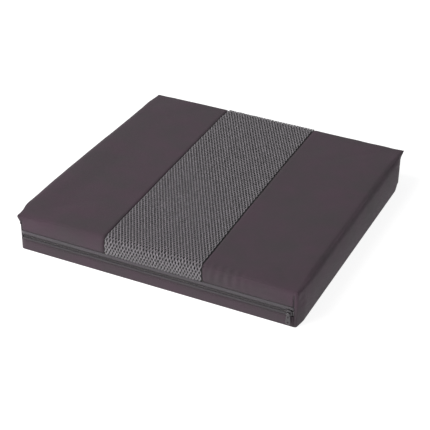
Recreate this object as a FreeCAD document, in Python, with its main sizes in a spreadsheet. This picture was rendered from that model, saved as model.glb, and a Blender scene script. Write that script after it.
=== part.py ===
"""Seat cushion: a foam block in a zipped cover with a centre strip of spacer mesh.

Frame: millimetres, +Z up, origin at the centre of the flat underside. The zip runs along
the front, which faces -Y, and its slider is at the +X end when the cover is closed.
"""
import FreeCAD, Part
import os

import Sketcher

Vector = FreeCAD.Vector
doc = FreeCAD.newDocument("seat_cushion")

# Driving dimensions, in millimetres.
DIMENSIONS = {
    "cushion_width": 400.0,
    "cushion_depth": 398.0,
    "panel_top": 53.0,
    "edge_roll": 8.0,
    "corner_radius": 3.0,
    "fabric_thick": 1.2,
    "foam_gap": 0.2,
    "comfort_foam_thick": 20.0,
    "mesh_width": 140.0,
    "mesh_front_x": 0.8,
    "mesh_back_x": -8.2,
    "mesh_thick": 2.2,
    "mesh_proud": 1.0,
    "seam_gap": 0.6,
    "thread_thick": 0.4,
    "thread_sunk": 0.3,
    "stitch_reach": 192.0,
    "band_spare": 10.0,
    "region_spare": 5.0,
    "zip_height": 20.5,
    "zip_half_length": 196.9,
    "tape_thick": 0.6,
    "tape_width": 7.0,
    "chain_gap": 0.8,
    "coil_width": 1.8,
    "coil_thick": 1.6,
    "coil_edge": 0.5,
    "hem_low": 25.4,
    "hem_high": 28.6,
    "hem_thick": 1.4,
    "strip_high": 15.6,
    "strip_thick": 1.0,
    "foam_step_low": 11.5,
    "foam_step_deep": 7.0,
    "stop_length": 1.4,
    "stop_corner": 0.4,
    "slider_rest": 191.0,
    "slider_length": 8.0,
    "slider_width": 8.4,
    "plate_thick": 1.0,
    "plate_corner": 1.6,
    "slider_clear": 0.4,
    "flange_thick": 0.8,
    "post_length": 1.5,
    "post_width": 1.0,
    "crown_span": 4.4,
    "crown_foot": 1.0,
    "crown_width": 1.4,
    "crown_bar_r": 0.55,
    "knuckle_r": 1.3,
    "knuckle_bore_r": 0.62,
    "knuckle_length": 3.8,
    "knuckle_clear": 0.3,
    "neck_top": 0.85,
    "pull_length": 15.5,
    "pull_width": 6.6,
    "pull_thick": 1.1,
    "pull_shoulder": 3.4,
    "window_width": 1.6,
    "window_length": 2.6,
    "pull_hole_r": 1.3,
}
sizes = doc.addObject("Spreadsheet::Sheet", "sizes")
for row, (alias, number) in enumerate(DIMENSIONS.items(), start=1):
    sizes.set(f"A{row}", alias)
    sizes.set(f"B{row}", str(number))
    sizes.setAlias(f"B{row}", alias)
doc.recompute()

# Lengths that several pieces share, as expressions on the sheet.
HALF_WIDTH = "sizes.cushion_width / 2"
HALF_DEPTH = "sizes.cushion_depth / 2"
FRONT_Y = "-sizes.cushion_depth / 2"
TAPE_FRONT = "(sizes.cushion_depth / 2 - sizes.strip_thick)"
FOAM_SPLIT = "(sizes.panel_top - sizes.fabric_thick - sizes.foam_gap - sizes.comfort_foam_thick)"
CHANNEL = "(sizes.coil_thick + sizes.tape_thick + 2 * sizes.slider_clear)"
PLATE_FRONT = "(sizes.coil_thick + sizes.slider_clear + sizes.plate_thick)"
BAR_OUT = f"({PLATE_FRONT} + sizes.knuckle_clear + sizes.knuckle_r)"

sub_parts = []


def keep(name, shape_object):
    """Give a finished sub-part its label and put it on the list to be written."""
    shape_object.Label = name
    sub_parts.append(shape_object)
    return shape_object


def box(name, x, y, z):
    """A Part box between expressions for its low and high faces."""
    solid = doc.addObject("Part::Box", name)
    for axis, side, (low, high) in zip("xyz", ("Length", "Width", "Height"), (x, y, z)):
        solid.setExpression(side, f"({high}) - ({low})")
        solid.setExpression(f"Placement.Base.{axis}", low)
    return solid


def rounded(name, solid, direction, radius, above=None):
    """Round the solid's straight edges that run along a direction, or only its upper ones."""
    doc.recompute()
    fillet = doc.addObject("Part::Fillet", name)
    fillet.Base = solid
    picked = []
    for number, edge in enumerate(solid.Shape.Edges, start=1):
        along = abs(edge.tangentAt(edge.FirstParameter).dot(direction)) > 0.999
        if along and (above is None or edge.CenterOfMass.z > above):
            picked.append((number, radius, radius))
    fillet.Edges = picked
    return fillet


def rolled_form(name, half_x, half_y, low, high, inset):
    """The cushion's closed form: edges rolled over at the top, small upright corners.

    inset is how far the form lies inside the cover's outer face, so its radii are smaller.
    """
    span = ((f"-({half_x})", half_x), (f"-({half_y})", half_y), (low, high))
    roll = sizes.edge_roll - inset
    corner = sizes.corner_radius - inset
    middle = sizes.panel_top / 2
    across = rounded(f"{name}_roll_x", box(f"{name}_box_x", *span), Vector(1, 0, 0), roll, middle)
    along = rounded(f"{name}_roll_y", box(f"{name}_box_y", *span), Vector(0, 1, 0), roll, middle)
    upright = rounded(f"{name}_corners", box(f"{name}_box_z", *span), Vector(0, 0, 1), corner)
    form = doc.addObject("Part::MultiCommon", name)
    form.Shapes = [across, along, upright]
    return form


def strip_region(name, low, high):
    """A tall block between two offsets from the mesh strip's centre line.

    The cover sits a little askew, so that line moves over from the front to the back. An
    offset of None stands for the cushion's own side.
    """
    body = new_body(name)
    sketch = new_sketch(body, "XY_Plane", "-sizes.region_spare")
    far = f"({HALF_DEPTH} + sizes.region_spare)"
    places = []
    for y, centre in ((f"-{far}", "sizes.mesh_front_x"), (far, "sizes.mesh_back_x")):
        left = f"-{HALF_WIDTH} - sizes.region_spare" if low is None else f"{centre} + {low}"
        right = f"{HALF_WIDTH} + sizes.region_spare" if high is None else f"{centre} + {high}"
        places.append([(left, y), (right, y)])
    outline(sketch, [places[0][0], places[0][1], places[1][1], places[1][0]])
    pad(body, sketch, "sizes.panel_top + 3 * sizes.region_spare")
    return body


def cut(name, base, tool):
    result = doc.addObject("Part::Cut", name)
    result.Base = base
    result.Tool = tool
    return result


def common(name, base, tool):
    result = doc.addObject("Part::Common", name)
    result.Base = base
    result.Tool = tool
    return result


def new_body(name):
    return doc.addObject("PartDesign::Body", name)


def plane_of(body, role):
    return next(feature for feature in body.Origin.OriginFeatures if feature.Role == role)


def new_sketch(body, role, offset="0"):
    """A sketch on one of the body's own planes, moved along its normal by an expression."""
    sketch = body.newObject("Sketcher::SketchObject", f"{body.Name}_sketch")
    sketch.AttachmentSupport = [(plane_of(body, role), "")]
    sketch.MapMode = "FlatFace"
    sketch.setExpression("AttachmentOffset.Base.z", offset)
    return sketch


def pin_point(sketch, line, end, u, v):
    """Hold one end of a line at a place given by two expressions."""
    for kind, expression in (("DistanceX", u), ("DistanceY", v)):
        index = sketch.addConstraint(Sketcher.Constraint(kind, -1, 1, line, end, 1.0))
        sketch.setExpression(f"Constraints[{index}]", expression)


def outline(sketch, corners):
    """A closed outline of straight lines through corners given as pairs of expressions."""
    places = [
        Vector(evaluate(sketch, u), evaluate(sketch, v), 0) for u, v in corners
    ]
    count = len(corners)
    first = sketch.GeometryCount
    for start in range(count):
        sketch.addGeometry(Part.LineSegment(places[start], places[(start + 1) % count]), False)
    for start in range(count):
        following = first + (start + 1) % count
        sketch.addConstraint(Sketcher.Constraint("Coincident", first + start, 2, following, 1))
    for start, (u, v) in enumerate(corners):
        pin_point(sketch, first + start, 1, u, v)


def evaluate(owner, expression):
    """The number an expression gives now, used to draw geometry where it will be held."""
    value = owner.evalExpression(expression)
    return float(getattr(value, "Value", value))


def rectangle(sketch, u, v):
    outline(sketch, [(u[0], v[0]), (u[1], v[0]), (u[1], v[1]), (u[0], v[1])])


def circle(sketch, u, v, radius):
    place = Vector(evaluate(sketch, u), evaluate(sketch, v), 0)
    geometry = sketch.addGeometry(Part.Circle(place, Vector(0, 0, 1), evaluate(sketch, radius)), False)
    pin_point(sketch, geometry, 3, u, v)
    index = sketch.addConstraint(Sketcher.Constraint("Radius", geometry, evaluate(sketch, radius)))
    sketch.setExpression(f"Constraints[{index}]", radius)


def pad(body, sketch, length, both_ways=False):
    feature = body.newObject("PartDesign::Pad", f"{body.Name}_pad")
    feature.Profile = sketch
    feature.setExpression("Length", length)
    feature.Midplane = both_ways
    doc.recompute()
    return feature


def pocket(body, sketch, deep):
    """Cut the sketch right through, both ways, and make sure that it took material away."""
    before = body.Shape.Volume
    feature = body.newObject("PartDesign::Pocket", f"{body.Name}_pocket")
    feature.Profile = sketch
    feature.setExpression("Length", deep)
    feature.Midplane = True
    doc.recompute()
    if body.Shape.Volume >= before:
        raise RuntimeError(f"{body.Name}: a pocket cut nothing")
    return feature


def soften(body, direction, radius):
    """Fillet every straight edge of the body that runs along a direction."""
    doc.recompute()
    names = []
    for number, edge in enumerate(body.Shape.Edges, start=1):
        straight = edge.Curve.TypeId == "Part::GeomLine"
        if straight and abs(edge.tangentAt(edge.FirstParameter).dot(direction)) > 0.999:
            names.append(f"Edge{number}")
    base = body.Tip
    fillet = body.newObject("PartDesign::Fillet", f"{body.Name}_fillet")
    fillet.Base = (base, names)
    fillet.setExpression("Radius", radius)
    body.Tip = fillet
    doc.recompute()
    return fillet


def front_bar(name, z, near, thick, reach="sizes.zip_half_length"):
    """A straight piece along the front: x to both sides, z from low to high.

    near is how far its inner face stands in front of the middle of the cushion.
    """
    body = new_body(name)
    sketch = new_sketch(body, "XZ_Plane", near)
    rectangle(sketch, (f"-({reach})", reach), z)
    pad(body, sketch, thick)
    return keep(name, body)


def support_foam(inner):
    """Firm base block, cut back in a step along the front so the slider has room behind it."""
    region = box(
        "support_foam_region",
        (f"-{HALF_WIDTH}", HALF_WIDTH),
        (f"-{HALF_DEPTH}", HALF_DEPTH),
        ("sizes.fabric_thick + sizes.foam_gap", FOAM_SPLIT),
    )
    step = box(
        "support_foam_step",
        (f"-{HALF_WIDTH}", HALF_WIDTH),
        (FRONT_Y, f"{FRONT_Y} + sizes.foam_step_deep"),
        ("sizes.foam_step_low", FOAM_SPLIT),
    )
    block = common("support_foam_block", inner, region)
    keep("support_foam", cut("support_foam_cut", block, step))


def comfort_foam(inner):
    """Softer layer bonded on the base block, under the seat surface."""
    region = box(
        "comfort_foam_region",
        (f"-{HALF_WIDTH}", HALF_WIDTH),
        (f"-{HALF_DEPTH}", HALF_DEPTH),
        (FOAM_SPLIT, "sizes.panel_top"),
    )
    keep("comfort_foam", common("comfort_foam_layer", inner, region))


def side_panel(name, skin, low, high):
    """One smooth fabric panel: top, front drop to the hem, side and back drop to the underside."""
    keep(name, common(f"{name}_skin", skin, strip_region(f"{name}_region", low, high)))


def fabric_panels():
    """Both smooth panels, cut from one skin that is open along the zip band."""
    lining = "sizes.fabric_thick"
    outer = rolled_form(
        "cover_outer", HALF_WIDTH, HALF_DEPTH, lining, "sizes.panel_top", 0.0
    )
    inner = rolled_form(
        "cover_inner",
        f"{HALF_WIDTH} - {lining}",
        f"{HALF_DEPTH} - {lining}",
        "0",
        f"sizes.panel_top - {lining}",
        sizes.fabric_thick,
    )
    shell = cut("cover_shell", outer, inner)
    band = box(
        "cover_zip_band",
        (f"-({HALF_WIDTH} - sizes.corner_radius)", f"{HALF_WIDTH} - sizes.corner_radius"),
        (f"{FRONT_Y} - sizes.region_spare", f"{FRONT_Y} + sizes.band_spare"),
        ("0", "sizes.hem_high"),
    )
    skin = cut("cover_skin", shell, band)
    seam_side = "(sizes.mesh_width / 2 + sizes.seam_gap / 2)"
    side_panel("left_top_panel", skin, None, f"-{seam_side}")
    side_panel("right_top_panel", skin, seam_side, None)


def hat_profile(name, low, high, proud, thick):
    """A strip that runs over the cushion from the hem in front to the underside at the back."""
    outer = rolled_form(
        f"{name}_outer",
        HALF_WIDTH,
        f"{HALF_DEPTH} + ({proud})",
        "sizes.fabric_thick",
        f"sizes.panel_top + ({proud})",
        0.0,
    )
    inner = rolled_form(
        f"{name}_inner",
        f"{HALF_WIDTH} + 1",
        f"{HALF_DEPTH} + ({proud}) - {thick}",
        "0",
        f"sizes.panel_top + ({proud}) - {thick}",
        sizes.fabric_thick,
    )
    band = box(
        f"{name}_band",
        (f"-{HALF_WIDTH}", HALF_WIDTH),
        (f"{FRONT_Y} - sizes.region_spare", f"{FRONT_Y} + sizes.band_spare"),
        ("0", "sizes.hem_high"),
    )
    skin = cut(f"{name}_skin", cut(f"{name}_shell", outer, inner), band)
    keep(name, common(f"{name}_strip", skin, strip_region(f"{name}_region", low, high)))


def spacer_mesh():
    """Centre strip of knitted spacer mesh, a little proud of the smooth panels."""
    seam_side = "(sizes.mesh_width / 2 - sizes.seam_gap / 2)"
    hat_profile(
        "spacer_mesh_strip", f"-{seam_side}", seam_side, "sizes.mesh_proud", "sizes.mesh_thick"
    )


def seam_threads():
    """The thread that closes each long seam, lying in the seam between panel and mesh."""
    for name, centre in (
        ("left_seam_thread", "-sizes.mesh_width / 2"),
        ("right_seam_thread", "sizes.mesh_width / 2"),
    ):
        edges = (f"({centre} - sizes.thread_thick / 2)", f"({centre} + sizes.thread_thick / 2)")
        hat_profile(name, *edges, "-sizes.thread_sunk", "sizes.thread_thick")


def bottom_panel():
    """Flat underside of the cover, the face that the cushion rests on."""
    body = new_body("bottom_panel")
    sketch = new_sketch(body, "XY_Plane")
    rectangle(sketch, (f"-{HALF_WIDTH}", HALF_WIDTH), (f"-{HALF_DEPTH}", HALF_DEPTH))
    pad(body, sketch, "sizes.fabric_thick")
    soften(body, Vector(0, 0, 1), "sizes.corner_radius")
    keep("bottom_panel", body)


def zip_band():
    """Strips and tapes of the zip band along the front, from bottom to top."""
    low, high = "sizes.zip_height - sizes.chain_gap", "sizes.zip_height + sizes.chain_gap"
    flat_reach = f"{HALF_WIDTH} - sizes.corner_radius - 0.1"
    behind = f"{TAPE_FRONT} - sizes.tape_thick"
    front_bar(
        "front_lower_strip",
        ("sizes.fabric_thick", "sizes.strip_high"),
        TAPE_FRONT,
        "sizes.strip_thick",
        flat_reach,
    )
    front_bar(
        "front_upper_hem", ("sizes.hem_low", "sizes.hem_high"), TAPE_FRONT, "sizes.hem_thick", flat_reach
    )
    front_bar("zip_lower_tape", (f"{low} - sizes.tape_width", low), behind, "sizes.tape_thick")
    front_bar("zip_upper_tape", (high, f"{high} + sizes.tape_width"), behind, "sizes.tape_thick")
    coil_reach = "sizes.zip_half_length - sizes.stop_length - 0.2"
    for name, z in (
        ("zip_lower_coil", (f"{low} - sizes.coil_width", low)),
        ("zip_upper_coil", (high, f"{high} + sizes.coil_width")),
    ):
        coil = front_bar(name, z, TAPE_FRONT, "sizes.coil_thick", coil_reach)
        soften(coil, Vector(1, 0, 0), "sizes.coil_edge")


def zip_stitching():
    """Thread of the two topstitched rows that hold the zip tapes to the cover."""
    face = "sizes.cushion_depth / 2"
    rows = (
        ("lower_zip_stitching", "sizes.strip_high - 1.5", face),
        ("upper_zip_stitching", "sizes.hem_low + 1.2", f"({TAPE_FRONT} + sizes.hem_thick)"),
    )
    for name, height, near in rows:
        front_bar(
            name,
            (height, f"{height} + sizes.thread_thick"),
            near,
            "sizes.thread_thick",
            "sizes.stitch_reach",
        )


def zip_stops():
    """Moulded stops: one on each tape at the closed end, one across both at the other end."""
    inner_end = "(sizes.zip_half_length - sizes.stop_length)"
    outer_end = "sizes.zip_half_length"
    low = "sizes.zip_height - sizes.chain_gap - sizes.coil_width"
    high = "sizes.zip_height + sizes.chain_gap + sizes.coil_width"
    lower = box(
        "top_stop_lower",
        (inner_end, outer_end),
        (f"-{TAPE_FRONT} - sizes.coil_thick", f"-{TAPE_FRONT}"),
        (low, "sizes.zip_height - sizes.chain_gap / 2"),
    )
    upper = box(
        "top_stop_upper",
        (inner_end, outer_end),
        (f"-{TAPE_FRONT} - sizes.coil_thick", f"-{TAPE_FRONT}"),
        ("sizes.zip_height + sizes.chain_gap / 2", high),
    )
    pair = doc.addObject("Part::Compound", "top_stop_pair")
    pair.Links = [lower, upper]
    keep("zip_top_stops", pair)
    body = new_body("zip_bottom_stop")
    sketch = new_sketch(body, "XZ_Plane", TAPE_FRONT)
    rectangle(sketch, (f"-{outer_end}", f"-{inner_end}"), (low, high))
    pad(body, sketch, "sizes.coil_thick")
    soften(body, Vector(0, 1, 0), "sizes.stop_corner")
    keep("zip_bottom_stop", body)


def place_on_zip(body):
    """Put a piece, drawn about the tape's front face, at the slider's closed place."""
    body.setExpression("Placement.Base.x", "sizes.slider_rest")
    body.setExpression("Placement.Base.y", f"-{TAPE_FRONT}")
    body.setExpression("Placement.Base.z", "sizes.zip_height")


def slider_body():
    """Die-cast slider: front and back plates joined by the post that parts the coils."""
    body = new_body("slider_body")
    half_length = "sizes.slider_length / 2"
    half_width = "sizes.slider_width / 2"
    back_face = "-(sizes.tape_thick + sizes.slider_clear + sizes.plate_thick)"
    front_inside = "sizes.coil_thick + sizes.slider_clear"
    post = new_sketch(body, "XZ_Plane", f"{back_face} + sizes.plate_thick / 2")
    rectangle(
        post,
        (f"{half_length} - sizes.post_length", half_length),
        ("-sizes.post_width / 2", "sizes.post_width / 2"),
    )
    pad(body, post, f"{CHANNEL} + sizes.plate_thick")
    for start in (back_face, front_inside):
        plate = new_sketch(body, "XZ_Plane", start)
        tail = "sizes.plate_corner"
        outline(
            plate,
            [
                (f"-{half_length}", f"-({half_width} - {tail})"),
                (f"-({half_length} - {tail})", f"-{half_width}"),
                (f"{half_length} - {tail}", f"-{half_width}"),
                (half_length, f"-({half_width} - {tail})"),
                (half_length, f"{half_width} - {tail}"),
                (f"{half_length} - {tail}", half_width),
                (f"-({half_length} - {tail})", half_width),
                (f"-{half_length}", f"{half_width} - {tail}"),
            ],
        )
        pad(body, plate, "sizes.plate_thick")
    for side in ("-", ""):
        flange = new_sketch(body, "XZ_Plane", "sizes.slider_clear")
        edges = (f"{side}{half_width}", f"{side}({half_width} - sizes.flange_thick)")
        inner = f"{half_length} - sizes.plate_corner"
        rectangle(flange, (f"-({inner})", inner), edges)
        pad(body, flange, f"{front_inside} - sizes.slider_clear + sizes.plate_thick / 2")
    place_on_zip(body)
    keep("slider_body", body)


def slider_crown():
    """Crown on the slider's front plate: two feet and the bar that the pull hangs on."""
    body = new_body("slider_crown")
    for side in ("-", ""):
        foot = new_sketch(body, "XZ_Plane", PLATE_FRONT)
        inside = "sizes.crown_span / 2"
        edges = (f"{side}{inside}", f"{side}({inside} + sizes.crown_foot)")
        rectangle(foot, edges, ("-sizes.crown_width / 2", "sizes.crown_width / 2"))
        pad(body, foot, "sizes.knuckle_clear + sizes.knuckle_r + sizes.crown_bar_r")
        if side == "-":
            bar = new_sketch(body, "YZ_Plane")
            circle(bar, f"-{BAR_OUT}", "0", "sizes.crown_bar_r")
            pad(body, bar, "sizes.crown_span + sizes.crown_foot", both_ways=True)
    place_on_zip(body)
    keep("slider_crown", body)


def pull_tab():
    """Pull: a flat blade whose curled top turns on the crown's bar."""
    body = new_body("pull_tab")
    knuckle = new_sketch(body, "YZ_Plane")
    circle(knuckle, f"-{BAR_OUT}", "0", "sizes.knuckle_r")
    circle(knuckle, f"-{BAR_OUT}", "0", "sizes.knuckle_bore_r")
    pad(body, knuckle, "sizes.knuckle_length", both_ways=True)
    blade = new_sketch(body, "XZ_Plane", f"{BAR_OUT} - sizes.pull_thick / 2")
    neck = "sizes.knuckle_length / 2"
    wide = "sizes.pull_width / 2"
    shoulder = "-sizes.pull_shoulder"
    foot = "-sizes.pull_length"
    outline(
        blade,
        [
            (f"-{neck}", "-sizes.neck_top"),
            (f"-{neck}", f"{shoulder} + 1"),
            (f"-({wide} - 0.6)", f"{shoulder} - 0.6"),
            (f"-{wide}", f"{foot} + 1.4"),
            (f"-({wide} - 1.4)", foot),
            (f"{wide} - 1.4", foot),
            (wide, f"{foot} + 1.4"),
            (f"{wide} - 0.6", f"{shoulder} - 0.6"),
            (neck, f"{shoulder} + 1"),
            (neck, "-sizes.neck_top"),
        ],
    )
    pad(body, blade, "sizes.pull_thick")
    window = new_sketch(body, "XZ_Plane", BAR_OUT)
    rectangle(
        window,
        ("-sizes.window_width / 2", "sizes.window_width / 2"),
        (f"{shoulder} - sizes.window_length", shoulder),
    )
    pocket(body, window, "3 * sizes.pull_thick")
    hole = new_sketch(body, "XZ_Plane", BAR_OUT)
    circle(hole, "0", f"{foot} + 2 * sizes.pull_hole_r + 0.4", "sizes.pull_hole_r")
    pocket(body, hole, "3 * sizes.pull_thick")
    place_on_zip(body)
    keep("pull_tab", body)


def foams():
    """Both foam layers share one form, which lies just inside the cover."""
    gap = "(sizes.fabric_thick + sizes.foam_gap)"
    form = rolled_form(
        "foam_form",
        f"{HALF_WIDTH} - {gap}",
        f"{HALF_DEPTH} - {gap}",
        "0",
        f"sizes.panel_top - {gap}",
        sizes.fabric_thick + sizes.foam_gap,
    )
    support_foam(form)
    comfort_foam(form)


def check_and_write():
    """Stop if anything failed to build, then write each sub-part to its own file."""
    doc.recompute()
    for thing in doc.Objects:
        if any(word in thing.State for word in ("Invalid", "Error")):
            raise RuntimeError(f"{thing.Label}: {thing.State}")
    os.makedirs("parts", exist_ok=True)
    for piece in sub_parts:
        shape = piece.Shape
        if shape.isNull() or not shape.isValid():
            raise RuntimeError(f"{piece.Label}: the shape is null or not valid")
        shape.exportStep(f"parts/{piece.Label}.step")
        bounds = shape.BoundBox
        print(
            f"{piece.Label:22s} solids {len(shape.Solids)}  volume {shape.Volume:10.1f}"
            f"  x {bounds.XMin:.2f}..{bounds.XMax:.2f}  y {bounds.YMin:.2f}..{bounds.YMax:.2f}"
            f"  z {bounds.ZMin:.2f}..{bounds.ZMax:.2f}"
        )


foams()
fabric_panels()
spacer_mesh()
seam_threads()
bottom_panel()
zip_band()
zip_stitching()
zip_stops()
slider_body()
slider_crown()
pull_tab()
check_and_write()
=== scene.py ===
"""Seat cushion: foam in a zipped cover, with a centre strip of knitted spacer mesh.

Metres, +Z up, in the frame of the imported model. The zip is on the front, which faces -Y.
"""
import math

import bmesh
import bpy
import numpy as np
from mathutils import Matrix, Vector, noise
from mathutils.bvhtree import BVHTree


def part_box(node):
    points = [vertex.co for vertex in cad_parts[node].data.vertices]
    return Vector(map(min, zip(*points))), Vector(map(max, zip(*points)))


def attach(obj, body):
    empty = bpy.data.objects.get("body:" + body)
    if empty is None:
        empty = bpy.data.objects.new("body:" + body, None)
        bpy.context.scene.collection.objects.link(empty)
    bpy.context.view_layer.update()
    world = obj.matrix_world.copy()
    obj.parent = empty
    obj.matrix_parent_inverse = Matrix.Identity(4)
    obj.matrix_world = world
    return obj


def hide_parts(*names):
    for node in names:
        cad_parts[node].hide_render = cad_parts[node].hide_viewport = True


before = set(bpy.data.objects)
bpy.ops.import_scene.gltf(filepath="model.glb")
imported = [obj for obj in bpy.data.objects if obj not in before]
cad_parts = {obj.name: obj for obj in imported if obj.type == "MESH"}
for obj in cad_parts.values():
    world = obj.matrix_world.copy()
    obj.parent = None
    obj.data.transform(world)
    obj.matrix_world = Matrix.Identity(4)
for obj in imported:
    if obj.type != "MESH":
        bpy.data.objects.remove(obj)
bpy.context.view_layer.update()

# ---------------------------------------------------------------- studio
# A plain pale floor, one broad soft light and the camera above the front right corner.
# The light stands at the front left, so the right side of the cushion is in shade.
camera_turn = math.radians(25.373)
camera_lift = math.radians(32.1)
camera_roll = math.radians(0.662)
camera_reach = 1.7976
camera_lens = 107.1
sensor_width = 36.0
aim = Vector((-0.0024, -0.0075, 0.0))
window_turn = math.radians(-46)
window_lift = math.radians(40)
window_reach = 4.0
window_size = 3.4
window_power = 190
world_strength = 0.30
floor_size = 14
floor_depth = 0.0004
floor_tone = 0.36
floor_glow = 0.86


def picked_only(thing):
    """Leave one object selected and active."""
    if bpy.context.object is not None and bpy.context.object.mode != "OBJECT":
        bpy.ops.object.mode_set(mode="OBJECT")
    bpy.ops.object.select_all(action="DESELECT")
    thing.select_set(True)
    bpy.context.view_layer.objects.active = thing


def from_turntable(turn, lift, reach):
    """The place at a turn to the right of the front, a lift above the floor and a reach."""
    out = Vector((math.sin(turn) * math.cos(lift), -math.cos(turn) * math.cos(lift), math.sin(lift)))
    return aim + out * reach


def look_at(thing, target, roll=0.0):
    """Point a camera or a light at a place, rolled about its line of sight."""
    thing.rotation_euler = (target - thing.location).to_track_quat("-Z", "Y").to_euler()
    thing.rotation_euler.rotate_axis("Z", roll)


picked_only(next(iter(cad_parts.values())))
bpy.ops.object.camera_add(location=from_turntable(camera_turn, camera_lift, camera_reach))
camera = bpy.context.object
camera.name = "studio_camera"
camera.data.lens = camera_lens
camera.data.sensor_width = sensor_width
camera.data.clip_start = 0.05
look_at(camera, aim, camera_roll)
bpy.context.scene.camera = camera

bpy.ops.object.light_add(type="AREA", location=from_turntable(window_turn, window_lift, window_reach))
window_light = bpy.context.object
window_light.name = "window_light"
window_light.data.shape = "DISK"
window_light.data.size = window_size
window_light.data.energy = window_power
window_light.data.color = (1.0, 0.99, 0.98)
look_at(window_light, aim)

bpy.context.scene.view_settings.view_transform = "Standard"
studio_world = bpy.data.worlds.new("studio_world")
bpy.context.scene.world = studio_world
studio_world.use_nodes = True
backdrop = studio_world.node_tree.nodes["Background"]
backdrop.inputs["Color"].default_value = (0.97, 0.98, 1.0, 1)
backdrop.inputs["Strength"].default_value = world_strength

bpy.ops.mesh.primitive_plane_add(size=floor_size, location=(0, 0, -floor_depth))
floor = bpy.context.object
floor.name = "studio_floor"
floor_paint = bpy.data.materials.new("floor_paint")
floor_paint.use_nodes = True
floor_shader = floor_paint.node_tree.nodes["Principled BSDF"]
floor_shader.inputs["Base Color"].default_value = (floor_tone, floor_tone, floor_tone, 1)
floor_shader.inputs["Roughness"].default_value = 0.9
floor_shader.inputs["Emission Color"].default_value = (1, 1, 1, 1)
floor_shader.inputs["Emission Strength"].default_value = floor_glow
floor.data.materials.append(floor_paint)

# ---------------------------------------------------------------- padded form
# The cushion's whole outer form, with no piece of its own: the cover's panels are cut from it
# and the foam is cut to fill it. The cover is held along its seams and swells between them: a
# cloth simulation gives the swell, scaled down, and the rest of the shape follows by formula.
left_low, left_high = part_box("left_top_panel")
right_low, right_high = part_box("right_top_panel")
hem_low, hem_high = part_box("front_upper_hem")
front = left_low.y
back = left_high.y
side = right_high.x
top = left_high.z
band_end = hem_high.x
edge_roll = 0.008
corner_roll = 0.003
corner_run = 0.06
voxel = 0.004
held_foot = 0.006
held_corner_reach = 0.008
cloth_steps = 20
swell_most = 0.0022
waist_least = 0.62
fuller_reach = 0.07
top_low_at_corner = 0.0010
top_rise_between = 0.0020
pinch_reach = 0.035
near_pinch_reach = 0.02
near_pinch_least = 0.45
bulge_reach = 0.03
side_bulge = 0.0052
back_bulge = 0.0022
front_bulge = 0.0012
side_corner_in = 0.0012
back_corner_in = 0.0010
shoulder_out = 0.0030
shoulder_up = 0.0022
ear_reach = 0.016


def apply_all(thing):
    """Apply every modifier, in order."""
    picked_only(thing)
    for modifier in list(thing.modifiers):
        bpy.ops.object.modifier_apply(modifier=modifier.name)


def new_block(name, low, high):
    """A cube at its place and size, with its place put into its mesh."""
    picked_only(floor)
    centre = [(a + b) / 2 for a, b in zip(low, high)]
    bpy.ops.mesh.primitive_cube_add(size=1, location=centre, scale=[b - a for a, b in zip(low, high)])
    block = bpy.context.object
    block.name = name
    bpy.ops.object.transform_apply(location=True, rotation=True, scale=True)
    return block


def points_of(thing):
    """A mesh's points, one row each."""
    places = np.zeros(len(thing.data.vertices) * 3)
    thing.data.vertices.foreach_get("co", places)
    return places.reshape(-1, 3)


def normals_of(thing):
    """The outward direction at each of a mesh's points."""
    return np.array([vertex.normal for vertex in thing.data.vertices])


def put_points(thing, places):
    """Move a mesh's points to new places."""
    thing.data.vertices.foreach_set("co", places.ravel())
    thing.data.update()


def ramp(values, low, high):
    """0 below low, 1 above high, and smooth between."""
    share = np.clip((values - low) / (high - low), 0, 1)
    return share * share * (3 - 2 * share)


def hump(values, middle, half_width):
    """1 at the middle, falling smoothly to 0 at half a width either side."""
    return np.exp(-(((values - middle) / half_width) ** 2) * 2)


def ripple(places, wave, seed):
    """Smooth unevenness between -1 and 1, of a given wave length."""
    offset = Vector((seed * 7.31, seed * 3.17, seed * 5.73))
    return np.array([noise.noise(Vector(place) / wave + offset) for place in places])


form = new_block("padded_form", (-side, front, 0), (side, back, top))
form.data.remesh_voxel_size = voxel
bpy.ops.object.voxel_remesh()
at_rest = points_of(form)
squared = at_rest.copy()
snap_reach = 0.7 * voxel
for axis, (low, high) in enumerate(((-side, side), (front, back), (0, top))):
    squared[squared[:, axis] < low + snap_reach, axis] = low
    squared[squared[:, axis] > high - snap_reach, axis] = high
x, y, z = at_rest.T
edge_x = side - np.abs(x)
edge_y = np.minimum(y - front, back - y)
held_under = z < held_foot
held_zip = (y < front + voxel) & (z < hem_high.z + 0.003)
held_corner = (edge_x < held_corner_reach) & (edge_y < held_corner_reach)
held = form.vertex_groups.new(name="held")
held.add([int(i) for i in np.flatnonzero(held_under | held_zip | held_corner)], 1.0, "REPLACE")
cloth = form.modifiers.new("cover_cloth", "CLOTH")
cloth.settings.quality = 6
cloth.settings.mass = 0.3
cloth.settings.tension_stiffness = 20
cloth.settings.compression_stiffness = 20
cloth.settings.shear_stiffness = 10
cloth.settings.bending_stiffness = 1.5
cloth.settings.use_pressure = True
cloth.settings.uniform_pressure_force = 4
cloth.settings.effector_weights.gravity = 0
cloth.settings.vertex_group_mass = "held"
for frame_number in range(1, cloth_steps + 1):
    bpy.context.scene.frame_set(frame_number)
apply_all(form)
bpy.context.scene.frame_set(1)
moved = points_of(form) - at_rest
squared += moved * swell_most / np.linalg.norm(moved, axis=1).max()
put_points(form, squared)
finer = form.modifiers.new("finer", "SUBSURF")
finer.subdivision_type = "SIMPLE"
finer.levels = 1
finer.render_levels = 1
apply_all(form)

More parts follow.
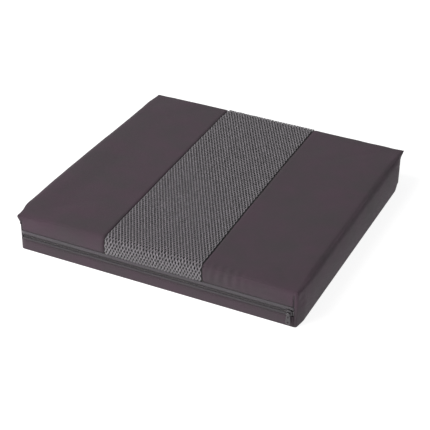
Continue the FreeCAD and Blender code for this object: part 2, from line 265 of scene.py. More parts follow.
# The sharp block's edges are rolled, wide along the sides and tight at the four top corners.
places = points_of(form)
x, y, z = places.T
from_end_x = np.maximum(side - np.abs(x), 0)
from_end_y = np.maximum(np.minimum(y - front, back - y), 0)
from_corner = np.hypot(from_end_x, from_end_y)
radius = corner_roll + (edge_roll - corner_roll) * ramp(from_corner, 0.0, corner_run)
inner_x = np.clip(x, -side + radius, side - radius)
inner_y = np.clip(y, front + radius, back - radius)
inner_z = np.minimum(z, top - radius)
outward = np.stack([x - inner_x, y - inner_y, z - inner_z], axis=1)
low_part = ramp(z, top - 3 * edge_roll, top - edge_roll)[:, None]
small_x = np.clip(x, -side + corner_roll, side - corner_roll)
small_y = np.clip(y, front + corner_roll, back - corner_roll)
upright = np.stack([x - small_x, y - small_y, 0 * z], axis=1)


def rolled(centre, spoke):
    """Turn square corners round: each point keeps its largest offset as its distance."""
    reach = np.abs(spoke).max(axis=1, keepdims=True)
    length = np.linalg.norm(spoke, axis=1, keepdims=True)
    return centre + spoke * reach / np.maximum(length, 1e-9)


over_top = rolled(np.stack([inner_x, inner_y, inner_z], axis=1), outward)
up_side = rolled(np.stack([small_x, small_y, z], axis=1), upright)
places = low_part * over_top + (1 - low_part) * up_side

# The cover stands fuller between the corners than at them, the left side's upper edge is the
# fullest, and three of the top corners end in small points.
x, y, z = places.T
from_end_x = side - np.abs(x)
from_end_y = np.minimum(y - front, back - y)
fuller = ramp(from_corner, 0.0, fuller_reach)
height = np.clip(z / top, 0, 1)
places[:, 2] += height * (top_rise_between * fuller - top_low_at_corner)
waist = waist_least + (1 - waist_least) * np.sin(height * math.pi)
on_side = ramp(np.abs(x), side - bulge_reach, side)
on_back = ramp(y, back - bulge_reach, back)
on_front = ramp(-y, -front - bulge_reach, -front)
pinch_x = ramp(from_end_y, 0.0, pinch_reach)
near_pinch = near_pinch_least + (1 - near_pinch_least) * ramp(from_end_y, 0.0, near_pinch_reach)
pinch_x = np.where((x > 0) & (y < 0), near_pinch, pinch_x)
pinch_y = ramp(from_end_x, 0.0, pinch_reach)
below_ear = 1 - ramp(z, top + 0.002 - ear_reach, top - 0.002)
out_x = side_bulge * pinch_x * waist - side_corner_in * (1 - pinch_x) * below_ear
out_y = back_bulge * pinch_y * waist - back_corner_in * (1 - pinch_y) * below_ear
places[:, 0] += np.sign(x) * on_side * out_x
places[:, 1] += on_back * out_y
left_shoulder = ramp(-x, side - 0.05, side - 0.01) * ramp(height, 0.4, 0.9)
left_shoulder *= ramp(y, front - 0.004, front + 0.03) * (1 - ramp(y, front + 0.1, back))
places[:, 0] -= shoulder_out * left_shoulder
places[:, 2] += shoulder_up * left_shoulder
above_hem = ramp(z, hem_high.z - 0.002, hem_high.z + 0.012)
places[:, 1] -= on_front * front_bulge * pinch_y * above_hem
for end_x, end_y, length in ((-1, -1, 0.0030), (1, 1, 0.0024), (-1, 1, 0.0008)):
    tip = np.array([end_x * side, back if end_y > 0 else front, top])
    near = np.clip(1 - np.linalg.norm(places - tip, axis=1) / ear_reach, 0, 1) ** 1.6
    places += near[:, None] * np.array([end_x, end_y, 0.0]) * length

# Slack in the cloth: slow unevenness all over, ripples on the right front drop beside the
# mesh, and creases that run from the front right corner into the side.
slow_slack = 0.0007
fine_slack = 0.0003
ripple_pitch = 0.0115
ripple_depth = 0.00045
ripples_from = 0.072
ripples_to = 0.15
crease_width = 0.0035
x, y, z = places.T
put_points(form, places)
normals = normals_of(form)
free = ramp(z, 0.002, 0.012) * (1 - on_front * (1 - above_hem))
slack = slow_slack * ripple(places, 0.085, 1) + fine_slack * ripple(places, 0.03, 2)
on_drop = ramp(-y, -front - 0.014, -front - 0.002) * above_hem
beside_mesh = ramp(x, ripples_from, ripples_from + 0.008) * (1 - ramp(x, ripples_to - 0.04, ripples_to))
ripple_phase = x / ripple_pitch * 2 * math.pi + 1.1 * ripple(places, 0.02, 3)
slack += ripple_depth * on_drop * beside_mesh * np.sin(ripple_phase)
for start_y, start_z, slope, run, depth in (
    (0.001, 0.029, 0.22, 0.024, 0.0010),
    (0.002, 0.021, -0.55, 0.018, 0.0007),
    (0.004, 0.012, -0.45, 0.016, 0.0006),
    (0.002, 0.038, 0.30, 0.016, 0.0004),
):
    way = y - (front + start_y)
    crease = hump(z, start_z + slope * way, crease_width) * (way > -0.004)
    crease *= 1 - ramp(way, 0.3 * run, run)
    slack -= depth * crease * ramp(x, side - 0.004, side - 0.001)
put_points(form, places + normals * (slack * free)[:, None])
settle = form.modifiers.new("settle", "SMOOTH")
settle.factor = 0.4
settle.iterations = 2
apply_all(form)
form_tree = BVHTree.FromPolygons(
    [Vector(place) for place in points_of(form)],
    [tuple(face.vertices) for face in form.data.polygons],
)

# ---------------------------------------------------------------- smooth panels
# Two panels of tight plain-weave polyester, one each side of the mesh. Each runs over the top
# and down the front, the side and the back, and is turned under where it is sewn.
panel_thick = 0.0012
plum = (0.068, 0.0415, 0.058)
seam_gap = 0.0006
seam_folds = (0.0008, 0.0018, 0.003)
seam_reach = 0.004
seam_deep = 0.0015
corner_seam = 0.1962
corner_seam_half = 0.0009
corner_seam_deep = 0.0013
strip_half = 0.0697
under_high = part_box("bottom_panel")[1]
mesh_low, mesh_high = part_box("spacer_mesh_strip")
strip_front = (left_high.x + mesh_high.x + seam_gap) / 2
strip_back = (mesh_low.x + right_low.x - seam_gap) / 2
strip_skew = (strip_back - strip_front) / (back - front)
across_strip = Vector((1, -strip_skew, 0)).normalized()
hem_reach = 0.0035
hem_deep = 0.0010
never = 1.0


def strip_centre(y):
    """The middle of the mesh strip, which lies a little askew, at a place along Y."""
    return strip_front + strip_skew * (y - front)


def copied(thing, name):
    """A copy of a piece, with its own mesh."""
    picked_only(thing)
    bpy.ops.object.duplicate()
    twin = bpy.context.object
    twin.name = name
    return twin


def edit(thing):
    """Open one piece in edit mode with nothing selected."""
    picked_only(thing)
    bpy.ops.object.mode_set(mode="EDIT")
    bpy.ops.mesh.select_all(action="DESELECT")


def done_editing():
    bpy.ops.object.mode_set(mode="OBJECT")


def select_faces(thing, wanted):
    """In edit mode, select just the faces whose middle and normal pass a test."""
    bpy.ops.mesh.select_all(action="DESELECT")
    bpy.ops.mesh.select_mode(type="FACE")
    for face in bmesh.from_edit_mesh(thing.data).faces:
        face.select_set(wanted(face.calc_center_median(), face.normal))


def slice_at(point, normal, outer=False):
    """Cut what is selected at a plane, and clear the normal's side if asked."""
    bpy.ops.mesh.bisect(plane_co=point, plane_no=normal, clear_outer=outer, use_fill=False)


def trim(thing, point, normal):
    """Cut away everything on the normal's side of a plane."""
    edit(thing)
    bpy.ops.mesh.select_all(action="SELECT")
    slice_at(point, normal, outer=True)
    done_editing()


def score(thing, point, normal):
    """Add a line of points where a plane meets the surface, to carry a fold or a seam."""
    edit(thing)
    bpy.ops.mesh.select_all(action="SELECT")
    slice_at(point, normal)
    done_editing()


def turn_under(thing, distance, reach, deep):
    """Roll the cloth in towards a sewn edge; distance is each point's way from that edge."""
    share = np.clip(1 - distance / reach, 0, 1) ** 2
    put_points(thing, points_of(thing) - normals_of(thing) * (share * deep)[:, None])


def give_thickness(thing, thick):
    """Give a cloth its thickness, inwards from its face."""
    wall = thing.modifiers.new("cloth_thickness", "SOLIDIFY")
    wall.thickness = thick
    wall.offset = -1
    apply_all(thing)


def on_front_face(middle, normal):
    return middle.y < front + 0.006 and normal.y < -0.5


def before_zip(middle, normal):
    within_band = middle.z < hem_high.z and abs(middle.x) < band_end
    return within_band and middle.y < front + 0.008 and normal.y < -0.3


def open_zip_band(thing):
    """Take out the cloth in front of the zip."""
    edit(thing)
    for point, normal in (
        ((0, 0, hem_high.z), (0, 0, 1)),
        ((-band_end, 0, 0), (1, 0, 0)),
        ((band_end, 0, 0), (1, 0, 0)),
    ):
        select_faces(thing, on_front_face)
        slice_at(point, normal)
    select_faces(thing, before_zip)
    bpy.ops.mesh.delete(type="FACE")
    done_editing()


def map_weave(thing):
    """Lay the weave's own map on the cloth, in metres, from the side each face looks to."""
    picked_only(thing)
    while thing.data.uv_layers:
        thing.data.uv_layers.remove(thing.data.uv_layers[0])
    thing.data.uv_layers.new(name="weave")
    bpy.ops.object.mode_set(mode="EDIT")
    bpy.ops.mesh.select_mode(type="FACE")
    bpy.ops.mesh.select_all(action="SELECT")
    bpy.ops.uv.cube_project(cube_size=1.0, correct_aspect=False, scale_to_bounds=False)
    done_editing()


def node(tree, kind, place, **settings):
    """A shader node at a place in its tree, with its settings."""
    made = tree.nodes.new(kind)
    made.location = place
    for name, value in settings.items():
        setattr(made, name, value)
    return made


def woven_cloth(name, colour, thread, roughness, sheen, depth, mottle):
    """Plain weave: crossing threads as bump, fine speckle that darkens the colour where the weave and
    its slubs sit low (painted shade between the threads, partly uneven slub tone), and slow mottling.
    """
    cloth = bpy.data.materials.new(name)
    cloth.use_nodes = True
    tree = cloth.node_tree
    shader = tree.nodes["Principled BSDF"]
    shader.inputs["Roughness"].default_value = roughness
    shader.inputs["Sheen Weight"].default_value = sheen
    shader.inputs["Sheen Roughness"].default_value = 0.55
    shader.inputs["Specular IOR Level"].default_value = 0.25
    weave_map = node(tree, "ShaderNodeUVMap", (-1400, 0), uv_map="weave")
    place = node(tree, "ShaderNodeTexCoord", (-1400, -400))
    threads = []
    for direction, height in (("X", 200), ("Y", 0)):
        wave = node(tree, "ShaderNodeTexWave", (-1150, height), bands_direction=direction)
        wave.inputs["Scale"].default_value = 0.314 / thread
        wave.inputs["Distortion"].default_value = 0.6
        wave.inputs["Detail"].default_value = 1.0
        wave.inputs["Detail Scale"].default_value = 0.4
        tree.links.new(weave_map.outputs["UV"], wave.inputs["Vector"])
        threads.append(wave)
    crossing = node(tree, "ShaderNodeMath", (-900, 100), operation="MULTIPLY")
    tree.links.new(threads[0].outputs["Fac"], crossing.inputs[0])
    tree.links.new(threads[1].outputs["Fac"], crossing.inputs[1])
    slubs = node(tree, "ShaderNodeTexNoise", (-1150, -250))
    slubs.inputs["Scale"].default_value = 420
    slubs.inputs["Detail"].default_value = 3
    tree.links.new(place.outputs["Object"], slubs.inputs["Vector"])
    height = node(tree, "ShaderNodeMath", (-700, 0), operation="ADD")
    tree.links.new(crossing.outputs[0], height.inputs[0])
    tree.links.new(slubs.outputs["Fac"], height.inputs[1])
    bump = node(tree, "ShaderNodeBump", (-450, -150))
    bump.inputs["Strength"].default_value = 0.5
    bump.inputs["Distance"].default_value = depth
    tree.links.new(height.outputs[0], bump.inputs["Height"])
    tree.links.new(bump.outputs["Normal"], shader.inputs["Normal"])
    blotches = node(tree, "ShaderNodeTexNoise", (-1150, -500))
    blotches.inputs["Scale"].default_value = 22
    blotches.inputs["Detail"].default_value = 4
    blotches.inputs["Roughness"].default_value = 0.6
    tree.links.new(place.outputs["Object"], blotches.inputs["Vector"])
    tones = node(tree, "ShaderNodeValToRGB", (-900, -500))
    grey = sum(colour) / 3
    cooler = [0.55 * part + 0.45 * grey for part in colour]
    tones.color_ramp.elements[0].position = 0.35
    tones.color_ramp.elements[1].position = 0.65
    tones.color_ramp.elements[0].color = [part * (1 - mottle) for part in cooler] + [1]
    tones.color_ramp.elements[1].color = [part * (1 + mottle) for part in colour] + [1]
    tree.links.new(blotches.outputs["Fac"], tones.inputs["Fac"])
    # Painted shade: the colour is darkened where the weave's height is low, between the threads and in
    # the slubs' dips.
    weave_hollow_shade = node(tree, "ShaderNodeMapRange", (-700, -300))
    weave_hollow_shade.inputs["To Min"].default_value = 0.72
    weave_hollow_shade.inputs["To Max"].default_value = 1.12
    tree.links.new(height.outputs[0], weave_hollow_shade.inputs["Value"])
    weave_hollow_shade.inputs["From Max"].default_value = 2.0
    shade = node(tree, "ShaderNodeVectorMath", (-450, -450), operation="SCALE")
    tree.links.new(tones.outputs["Color"], shade.inputs[0])
    tree.links.new(weave_hollow_shade.outputs["Result"], shade.inputs["Scale"])
    tree.links.new(shade.outputs["Vector"], shader.inputs["Base Color"])
    return cloth


def dress(thing, finish):
    """Give a piece one finish all over, and smooth shading."""
    thing.data.materials.clear()
    thing.data.materials.append(finish)
    picked_only(thing)
    bpy.ops.object.shade_smooth()


plum_fabric = woven_cloth(
    "plum_fabric", plum, thread=0.00042, roughness=0.85, sheen=0.08, depth=0.00012, mottle=0.05
)


def smooth_panel(name, outward, node_name):
    """One panel, cut from the form: outward is -1 for the left and 1 for the right."""
    panel = copied(form, name)
    seam = strip_half + seam_gap
    trim(panel, (strip_front + outward * seam, front, 0), -outward * across_strip)
    trim(panel, (0, 0, under_high.z), (0, 0, -1))
    for step in seam_folds:
        score(panel, (strip_front + outward * (seam + step), front, 0), across_strip)
    for step in (-corner_seam_half, 0, corner_seam_half):
        score(panel, (outward * (corner_seam + step), 0, 0), (1, 0, 0))
    open_zip_band(panel)
    places = points_of(panel)
    x, y, z = places.T
    in_seam = np.clip(1 - np.abs(np.abs(x) - corner_seam) / corner_seam_half, 0, 1)
    in_seam *= (y < front + 0.003) * (1 - ramp(z, top - 0.012, top - 0.003))
    places[:, 1] += corner_seam_deep * in_seam
    put_points(panel, places)
    from_seam = np.abs(places[:, 0] - strip_centre(places[:, 1])) - seam
    turn_under(panel, from_seam, seam_reach, seam_deep)
    places = points_of(panel)
    from_hem = np.where(
        (places[:, 1] < front + 0.006) & (np.abs(places[:, 0]) < band_end),
        places[:, 2] - hem_high.z,
        never,
    )
    turn_under(panel, np.maximum(from_hem, 0), hem_reach, hem_deep)
    give_thickness(panel, panel_thick)
    map_weave(panel)
    dress(panel, plum_fabric)
    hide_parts(node_name)
    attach(panel, "cushion")


smooth_panel("left_panel", -1, "left_top_panel")
smooth_panel("right_panel", 1, "right_top_panel")

# ---------------------------------------------------------------- spacer mesh
# A warp-knitted spacer fabric: a face net of wavy yarns that touch in turn and leave staggered
# holes, over a near-black backing whose colour is partly painted shade in the holes. Its yarns run from
# front to back and stand a little proud.
mesh_columns = 31
seam_valley = 0.0014
hole_pitch = (2 * strip_half - seam_valley) / mesh_columns
row_pitch = 0.0042
yarn_radius = 0.00062
yarn_flat = 0.62
yarn_lift = 0.0004
knot_half = 0.0005
knot_swell = 1.3
below_hem_top = 0.0006
yarn_sway = 0.00088
yarn_wander = 0.0005
lift_wander = 0.0004
row_lift = 0.00035
drape_reach = 0.03
yarn_grey = (0.178, 0.163, 0.178)
# The backing's near-black colour is partly its own dark tone and partly painted shade deep in the
# mesh's holes.
backing_and_hole_shade = (0.007, 0.006, 0.007)
front_drop = top - hem_high.z + below_hem_top
back_drop = top - under_high.z
run_over_top = (back - front) - 2 * edge_roll
quarter = math.pi / 2 * edge_roll
path_parts = (front_drop - edge_roll, quarter, run_over_top, quarter, back_drop - edge_roll)
path_length = sum(path_parts)
rows = int(path_length / row_pitch)


def along_cushion(way):
    """Place and outward direction at a way along the strip, from the hem to the back's foot."""
    for number, part in enumerate(path_parts):
        if way <= part or number == len(path_parts) - 1:
            break
        way -= part
    turn = way / edge_roll
    if number == 0:
        return (front, hem_high.z - below_hem_top + way), (-1, 0)
    if number == 1:
        out = (-math.cos(turn), math.sin(turn))
        centre = (front + edge_roll, top - edge_roll)
    elif number == 2:
        return (front + edge_roll + way, top), (0, 1)
    elif number == 3:
        out = (math.sin(turn), math.cos(turn))
        centre = (back - edge_roll, top - edge_roll)
    else:
        return (back, top - edge_roll - way), (1, 0)
    return (centre[0] + out[0] * edge_roll, centre[1] + out[1] * edge_roll), out


def drape(thing, lift):
    """Lay a flat strip, drawn with x across, y along and z out, over the padded form."""
    places = points_of(thing)
    for index, (across, way, out_by) in enumerate(places):
        (line_y, line_z), (out_y, out_z) = along_cushion(way)
        outward = Vector((0, out_y, out_z))
        on_line = Vector((across + strip_centre(line_y), line_y, line_z))
        hit = form_tree.ray_cast(on_line + outward * drape_reach, -outward, 2 * drape_reach)[0]
        surface = hit if hit is not None else on_line
        places[index] = surface + outward * (out_by + lift)
    put_points(thing, places)


def yarn_pair(name):
    """Two neighbouring yarns, each swaying away from the other and back."""
    picked_only(floor)
    yarns = []
    for sway in (-1, 1):
        line = bpy.data.curves.new(name, "CURVE")
        line.dimensions = "3D"
        line.resolution_u = 2
        line.bevel_depth = yarn_radius
        line.bevel_resolution = 0
        line.use_fill_caps = True
        spline = line.splines.new("NURBS")
        spline.points.add(2 * rows - 1)
        middle = seam_valley - strip_half + hole_pitch * (0.25 if sway < 0 else 0.75)
        for row in range(rows):
            to_side = sway * yarn_sway * (1 if row % 2 else -1)
            for end in (0, 1):
                point = spline.points[2 * row + end]
                way = (row + 0.5) * row_pitch + (end * 2 - 1) * knot_half
                point.co = (middle + to_side, way, 0.0, 1.0)
                point.radius = knot_swell
        spline.use_endpoint_u = True
        spline.order_u = 3
        yarn = bpy.data.objects.new(name, line)
        bpy.context.scene.collection.objects.link(yarn)
        yarns.append(yarn)
    return yarns


def knitted_face(name, yarn, count):
    """A net of like yarns side by side, uneven as knitting is, laid over the cushion."""
    picked_only(yarn)
    bpy.ops.object.convert(target="MESH")
    net = bpy.context.object
    net.name = name
    across = net.modifiers.new("across", "ARRAY")
    across.count = count
    across.use_relative_offset = False
    across.use_constant_offset = True
    across.constant_offset_displace = (hole_pitch, 0, 0)
    apply_all(net)
    places = points_of(net)
    places[:, 0] += yarn_wander * ripple(places, 0.004, 5)
    places[:, 2] = yarn_flat * places[:, 2] + lift_wander * ripple(places, 0.005, 6)
    row_phase = np.abs(((places[:, 1] / row_pitch) % 1.0) - 0.5)
    places[:, 2] += row_lift * np.cos(row_phase * 2 * math.pi)
    put_points(net, places)
    drape(net, yarn_lift)
    return net


mesh_nets = [
    knitted_face(f"mesh_yarns_{number}", yarn, mesh_columns)
    for number, yarn in enumerate(yarn_pair("yarn"), start=1)
]


def yarn_finish(name, colour):
    """Dull textured yarn, paler where its filaments catch the light."""
    yarn = bpy.data.materials.new(name)
    yarn.use_nodes = True
    tree = yarn.node_tree
    shader = tree.nodes["Principled BSDF"]
    shader.inputs["Roughness"].default_value = 0.62
    shader.inputs["Sheen Weight"].default_value = 0.3
    place = node(tree, "ShaderNodeTexCoord", (-900, 0))
    fibres = node(tree, "ShaderNodeTexNoise", (-700, 0))
    fibres.inputs["Scale"].default_value = 380
    fibres.inputs["Detail"].default_value = 4
    tree.links.new(place.outputs["Object"], fibres.inputs["Vector"])
    tones = node(tree, "ShaderNodeValToRGB", (-450, 100))
    tones.color_ramp.elements[0].position = 0.3
    tones.color_ramp.elements[1].position = 0.7
    tones.color_ramp.elements[0].color = [0.55 * part for part in colour] + [1]
    tones.color_ramp.elements[1].color = [1.5 * part for part in colour] + [1]
    tree.links.new(fibres.outputs["Fac"], tones.inputs["Fac"])
    tree.links.new(tones.outputs["Color"], shader.inputs["Base Color"])
    bump = node(tree, "ShaderNodeBump", (-250, -200))
    bump.inputs["Strength"].default_value = 0.6
    bump.inputs["Distance"].default_value = 0.0001
    tree.links.new(fibres.outputs["Fac"], bump.inputs["Height"])
    tree.links.new(bump.outputs["Normal"], shader.inputs["Normal"])
    return yarn


grey_yarn = yarn_finish("grey_yarn", yarn_grey)
for net in mesh_nets:
    dress(net, grey_yarn)
    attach(net, "cushion")
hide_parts("spacer_mesh_strip")

backing_deep = 0.0014
backing_thick = 0.0006
backing = copied(form, "mesh_backing")
trim(backing, (strip_front - strip_half, front, 0), -across_strip)
trim(backing, (strip_front + strip_half, front, 0), across_strip)
trim(backing, (0, 0, under_high.z), (0, 0, -1))
open_zip_band(backing)
put_points(backing, points_of(backing) - normals_of(backing) * backing_deep)
give_thickness(backing, backing_thick)
# Painted shade, in part: the backing is coloured near black so the holes read dark.
backing_knit_hole_shade = yarn_finish("backing_knit_hole_shade", backing_and_hole_shade)
dress(backing, backing_knit_hole_shade)
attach(backing, "cushion")

# ---------------------------------------------------------------- underside
# The bottom panel, of the same fabric, sewn to the others round the lower edge.
# It lies flat on the seat, so it needs fewer points than they do.
underside_thick = 0.0008
underside_share_kept = 0.25
underside = copied(form, "underside")
trim(underside, (0, 0, under_high.z), (0, 0, 1))
coarser = underside.modifiers.new("coarser", "DECIMATE")
coarser.ratio = underside_share_kept
apply_all(underside)
give_thickness(underside, underside_thick)
map_weave(underside)
dress(underside, plum_fabric)
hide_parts("bottom_panel")
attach(underside, "cushion")

# ---------------------------------------------------------------- zip band
# Below the panels a narrow folded hem and above the floor a lower strip hold the two woven
# tapes of the zip. All are sewn from corner to corner along the front.
strip_low, strip_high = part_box("front_lower_strip")
band_cuts = 90
tape_cuts = 60
strip_edge = 0.00045
hem_edge = 0.0006
tape_edge = 0.0002
unevenness_run = 0.05
strip_wave = 0.0005
hem_wave = 0.0002
hem_grey = (0.084, 0.070, 0.084)
tape_grey = (0.100, 0.086, 0.098)


def select_long_edges(strip):
    """In edit mode, select the edges that run along X."""
    bpy.ops.mesh.select_mode(type="EDGE")
    for edge in bmesh.from_edit_mesh(strip.data).edges:
        way = (edge.verts[1].co - edge.verts[0].co).normalized()
        edge.select_set(abs(way.x) > 0.9)


def band_strip(name, low, high, cuts, edge):
    """A long strip of cloth, its long edges rounded, with points enough to be uneven."""
    strip = new_block(name, low, high)
    edit(strip)
    select_long_edges(strip)
    bpy.ops.mesh.bevel(offset=edge, segments=3, affect="EDGES")
    length = high[0] - low[0]
    for step in range(1, cuts):
        bpy.ops.mesh.select_all(action="SELECT")
        slice_at((low[0] + length * step / cuts, 0, 0), (1, 0, 0))
    done_editing()
    return strip


lower_strip = band_strip("lower_strip", strip_low, strip_high, band_cuts, strip_edge)
hem = band_strip("hem_fold", hem_low, hem_high, band_cuts, hem_edge)
for strip, size, seed in ((lower_strip, strip_wave, 11), (hem, hem_wave, 12)):
    places = points_of(strip)
    places[:, 1] -= size * (0.6 + ripple(places * [1, 0, 0], unevenness_run, seed))
    put_points(strip, places)
    map_weave(strip)
dress(lower_strip, plum_fabric)
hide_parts("front_lower_strip")
hem_cloth = woven_cloth(
    "hem_cloth", hem_grey, thread=0.0005, roughness=0.8, sheen=0.25, depth=0.00012, mottle=0.04
)
dress(hem, hem_cloth)
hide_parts("front_upper_hem")
tape_cloth = woven_cloth(
    "tape_cloth", tape_grey, thread=0.0007, roughness=0.75, sheen=0.15, depth=0.00018, mottle=0.03
)
tapes = []
for name in ("zip_upper_tape", "zip_lower_tape"):
    low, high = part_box(name)
    tape = band_strip(name.replace("zip_", "") + "_woven", low, high, tape_cuts, tape_edge)
    map_weave(tape)
    dress(tape, tape_cloth)
    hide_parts(name)
    tapes.append(tape)
for piece in (lower_strip, hem, *tapes):
    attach(piece, "cushion")

# ---------------------------------------------------------------- zip coils
# Two coils of nylon monofilament, one sewn on each tape. Their loops reach past each other's
# heads along the middle of the zip, half a pitch apart.
coil_pitch = 0.00125
filament = 0.0003
points_per_turn = 10
loops_past_middle = 0.0003
coil_grey = (0.085, 0.076, 0.084)
upper_coil_low, upper_coil_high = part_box("zip_upper_coil")
lower_coil_low, lower_coil_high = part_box("zip_lower_coil")
zip_middle = (upper_coil_low.z + lower_coil_high.z) / 2


def nylon(name, colour):
    """Smooth dyed nylon, its colour a little cloudy."""
    plastic = bpy.data.materials.new(name)
    plastic.use_nodes = True
    tree = plastic.node_tree
    shader = tree.nodes["Principled BSDF"]
    shader.inputs["Roughness"].default_value = 0.42
    place = node(tree, "ShaderNodeTexCoord", (-900, 0))
    cloud = node(tree, "ShaderNodeTexNoise", (-700, 0))
    cloud.inputs["Scale"].default_value = 160
    tree.links.new(place.outputs["Object"], cloud.inputs["Vector"])
    tones = node(tree, "ShaderNodeValToRGB", (-450, 0))
    tones.color_ramp.elements[0].color = [0.85 * part for part in colour] + [1]
    tones.color_ramp.elements[1].color = [1.15 * part for part in colour] + [1]
    tree.links.new(cloud.outputs["Fac"], tones.inputs["Fac"])
    tree.links.new(tones.outputs["Color"], shader.inputs["Base Color"])
    return plastic


coil_nylon = nylon("coil_nylon", coil_grey)


def coil(name, low, high, inward, shift, node_name):
    """A flattened helix along the zip, its inner ends reaching past the middle."""
    outer_z = high.z if inward < 0 else low.z
    inner_z = zip_middle + inward * loops_past_middle
    middle_z, half_z = (outer_z + inner_z) / 2, abs(outer_z - inner_z) / 2 - filament
    middle_y, half_y = (low.y + high.y) / 2, (high.y - low.y) / 2 - filament
    turns = int((high.x - low.x) / coil_pitch) - 1
    line = bpy.data.curves.new(name, "CURVE")
    line.dimensions = "3D"
    line.bevel_depth = filament
    line.bevel_resolution = 0
    line.use_fill_caps = True
    spline = line.splines.new("POLY")
    count = turns * points_per_turn
    spline.points.add(count - 1)
    for index in range(count):
        turn = 2 * math.pi * index / points_per_turn
        along = low.x + coil_pitch * (0.5 + shift + index / points_per_turn)
        spline.points[index].co = (
            along,
            middle_y + half_y * math.sin(turn),
            middle_z + half_z * math.cos(turn) * -inward,
            1,
        )
    made = bpy.data.objects.new(name, line)
    bpy.context.scene.collection.objects.link(made)
    picked_only(made)
    bpy.ops.object.convert(target="MESH")
    made = bpy.context.object
    dress(made, coil_nylon)
    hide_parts(node_name)
    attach(made, "cushion")


coil("upper_coil", upper_coil_low, upper_coil_high, -1, 0.0, "zip_upper_coil")
coil("lower_coil", lower_coil_low, lower_coil_high, 1, 0.5, "zip_lower_coil")
for name in ("zip_top_stops", "zip_bottom_stop"):
    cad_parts[name].material_slots[0].material = coil_nylon

# ---------------------------------------------------------------- stitching
# Lockstitch in dark spun polyester: a row on the hem and one on the lower strip, the thread in
# the two seams beside the mesh, and the upright seam at each front corner.
thread_colour = (0.016, 0.013, 0.016)
stitch_pitch = 0.0028
stitch_length = 0.0023
stitch_height = 0.00045
stitch_depth = 0.0005
spun_thread = yarn_finish("spun_thread", thread_colour)


def stitch_row(name, node_name, face):
    """A row of like stitches along the zip, half sunk in the cloth's face."""
    low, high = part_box(node_name)
    picked_only(floor)
    first = (low.x + stitch_length / 2, face, (low.z + high.z) / 2)
    bpy.ops.mesh.primitive_uv_sphere_add(segments=8, ring_count=5, radius=0.5, location=first)
    stitch = bpy.context.object
    stitch.scale = (stitch_length, stitch_depth, stitch_height)
    bpy.ops.object.transform_apply(location=True, rotation=True, scale=True)
    stitch.name = name
    row = stitch.modifiers.new("row", "ARRAY")
    row.count = int((high.x - low.x) / stitch_pitch)
    row.use_relative_offset = False
    row.use_constant_offset = True
    row.constant_offset_displace = (stitch_pitch, 0, 0)
    apply_all(stitch)
    dress(stitch, spun_thread)
    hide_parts(node_name)
    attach(stitch, "cushion")


stitch_row("hem_stitches", "upper_zip_stitching", hem_low.y - hem_wave)
stitch_row("strip_stitches", "lower_zip_stitching", strip_low.y - strip_wave)
for name in ("left_seam_thread", "right_seam_thread"):
    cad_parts[name].material_slots[0].material = spun_thread
corner_thread_points = 8
corner_thread_radius = 0.0003
corner_thread_sunk = 0.0001
corner_thread_high = top - 0.006
for name, end in (("left_corner_thread", -1), ("right_corner_thread", 1)):
    line = bpy.data.curves.new(name, "CURVE")
    line.dimensions = "3D"
    line.bevel_depth = corner_thread_radius
    line.bevel_resolution = 1
    line.use_fill_caps = True
    spline = line.splines.new("POLY")
    spline.points.add(corner_thread_points - 1)
    for number, point in enumerate(spline.points):
        share = number / (corner_thread_points - 1)
        height = hem_high.z + (corner_thread_high - hem_high.z) * share
        before_seam = Vector((end * corner_seam, front - 0.02, height))
        surface = form_tree.ray_cast(before_seam, Vector((0, 1, 0)))[0]
        point.co = (surface.x, surface.y + corner_thread_sunk, surface.z, 1)
    thread = bpy.data.objects.new(name, line)
    bpy.context.scene.collection.objects.link(thread)
    picked_only(thread)
    bpy.ops.object.convert(target="MESH")
    thread = bpy.context.object
    dress(thread, spun_thread)
    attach(thread, "cushion")

# ---------------------------------------------------------------- slider and pull
# A small die-cast zinc slider with a crown and a pull, lacquered dark grey. Their corners are
# eased, as a casting's are, and the lacquer is slightly mottled.
slider_grey = (0.050, 0.045, 0.050)


def lacquer(name, colour):
    """Thin lacquer over metal, slightly mottled and grained."""
    paint = bpy.data.materials.new(name)
    paint.use_nodes = True
    tree = paint.node_tree
    shader = tree.nodes["Principled BSDF"]
    shader.inputs["Roughness"].default_value = 0.38
    shader.inputs["Metallic"].default_value = 0.35
    shader.inputs["Coat Weight"].default_value = 0.3
    place = node(tree, "ShaderNodeTexCoord", (-900, 0))
    cloud = node(tree, "ShaderNodeTexNoise", (-700, 0))
    cloud.inputs["Scale"].default_value = 600
    cloud.inputs["Detail"].default_value = 5
    tree.links.new(place.outputs["Object"], cloud.inputs["Vector"])
    tones = node(tree, "ShaderNodeValToRGB", (-450, 0))
    tones.color_ramp.elements[0].position = 0.35
    tones.color_ramp.elements[1].position = 0.7
    tones.color_ramp.elements[0].color = [0.8 * part for part in colour] + [1]
    tones.color_ramp.elements[1].color = [1.35 * part for part in colour] + [1]
    tree.links.new(cloud.outputs["Fac"], tones.inputs["Fac"])
    tree.links.new(tones.outputs["Color"], shader.inputs["Base Color"])
    bump = node(tree, "ShaderNodeBump", (-250, -200))
    bump.inputs["Strength"].default_value = 0.25
    bump.inputs["Distance"].default_value = 0.00005
    tree.links.new(cloud.outputs["Fac"], bump.inputs["Height"])
    tree.links.new(bump.outputs["Normal"], shader.inputs["Normal"])
    return paint


slider_lacquer = lacquer("slider_lacquer", slider_grey)


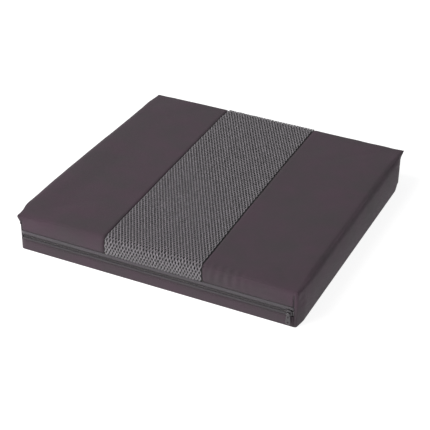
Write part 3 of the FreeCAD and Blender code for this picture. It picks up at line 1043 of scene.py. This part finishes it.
def cast_piece(name, node_name, body, edge):
    """A copy of a designed metal piece, its corners eased as a casting's are."""
    piece = copied(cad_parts[node_name], name)
    piece.parent = None
    for key in list(piece.keys()):
        del piece[key]
    edit(piece)
    bpy.ops.mesh.select_all(action="SELECT")
    bpy.ops.mesh.remove_doubles(threshold=1e-6)
    bpy.ops.mesh.dissolve_limited(angle_limit=math.radians(2))
    done_editing()
    ease = piece.modifiers.new("eased", "BEVEL")
    ease.width = edge
    ease.segments = 2
    ease.limit_method = "ANGLE"
    ease.angle_limit = math.radians(40)
    apply_all(piece)
    piece.data.materials.clear()
    piece.data.materials.append(slider_lacquer)
    picked_only(piece)
    bpy.ops.object.shade_smooth_by_angle(angle=math.radians(35))
    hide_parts(node_name)
    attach(piece, body)


cast_piece("zip_slider", "slider_body", "slider", 0.00022)
cast_piece("zip_crown", "slider_crown", "slider", 0.0002)
cast_piece("zip_pull", "pull_tab", "pull", 0.00018)

# ---------------------------------------------------------------- foam
# The two foam blocks fill the cover. They are cut from the same form, set in by the cover's
# thickness, so they never show through it.
foam_inset = 0.0026
foam_corner_sink = 0.012
foam_corner_reach = 0.03
foam_gap = 0.0001
foam_share_kept = 0.2
base_cream = (0.72, 0.70, 0.62)
comfort_cream = (0.84, 0.82, 0.76)
foam_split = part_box("comfort_foam")[0].z


def open_cell_foam(name, colour):
    """Matt foam, with painted shade in its cells, where its bump sits low."""
    foam = bpy.data.materials.new(name)
    foam.use_nodes = True
    tree = foam.node_tree
    shader = tree.nodes["Principled BSDF"]
    shader.inputs["Roughness"].default_value = 0.95
    place = node(tree, "ShaderNodeTexCoord", (-900, 0))
    cells = node(tree, "ShaderNodeTexVoronoi", (-700, 0))
    cells.inputs["Scale"].default_value = 900
    tree.links.new(place.outputs["Object"], cells.inputs["Vector"])
    tones = node(tree, "ShaderNodeValToRGB", (-450, 0))
    # Painted shade: the colour darkens towards each cell's middle, where the bump sits low.
    tones.color_ramp.elements[0].color = [0.75 * part for part in colour] + [1]
    tones.color_ramp.elements[1].color = [part for part in colour] + [1]
    tree.links.new(cells.outputs["Distance"], tones.inputs["Fac"])
    tree.links.new(tones.outputs["Color"], shader.inputs["Base Color"])
    bump = node(tree, "ShaderNodeBump", (-250, -200))
    bump.inputs["Distance"].default_value = 0.0003
    tree.links.new(cells.outputs["Distance"], bump.inputs["Height"])
    tree.links.new(bump.outputs["Normal"], shader.inputs["Normal"])
    return foam


def foam_block(name, plane, keep_above, colour, node_name):
    """The part of the filling above or below a level plane, its corners eased down."""
    block = copied(form, name)
    shrink = block.modifiers.new("coarser", "DECIMATE")
    shrink.ratio = foam_share_kept
    apply_all(block)
    inside = points_of(block) - normals_of(block) * foam_inset
    inside[:, 0] = np.clip(inside[:, 0], -side + foam_inset, side - foam_inset)
    inside[:, 1] = np.clip(inside[:, 1], front + foam_inset, back - foam_inset)
    x, y, z = inside.T
    corner_way = np.hypot(side - np.abs(x), np.minimum(y - front, back - y))
    sunk = foam_corner_sink * np.clip(1 - corner_way / foam_corner_reach, 0, 1)
    inside[:, 2] -= sunk * z / top
    put_points(block, inside)
    edit(block)
    bpy.ops.mesh.select_all(action="SELECT")
    bpy.ops.mesh.bisect(
        plane_co=(0, 0, plane),
        plane_no=(0, 0, -1 if keep_above else 1),
        clear_outer=True,
        use_fill=True,
    )
    done_editing()
    dress(block, open_cell_foam(f"{name}_foam", colour))
    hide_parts(node_name)
    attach(block, "cushion")


foam_block("base_block", foam_split - foam_gap, False, base_cream, "support_foam")
foam_block("comfort_layer", foam_split + foam_gap, True, comfort_cream, "comfort_foam")
bpy.data.objects.remove(form)
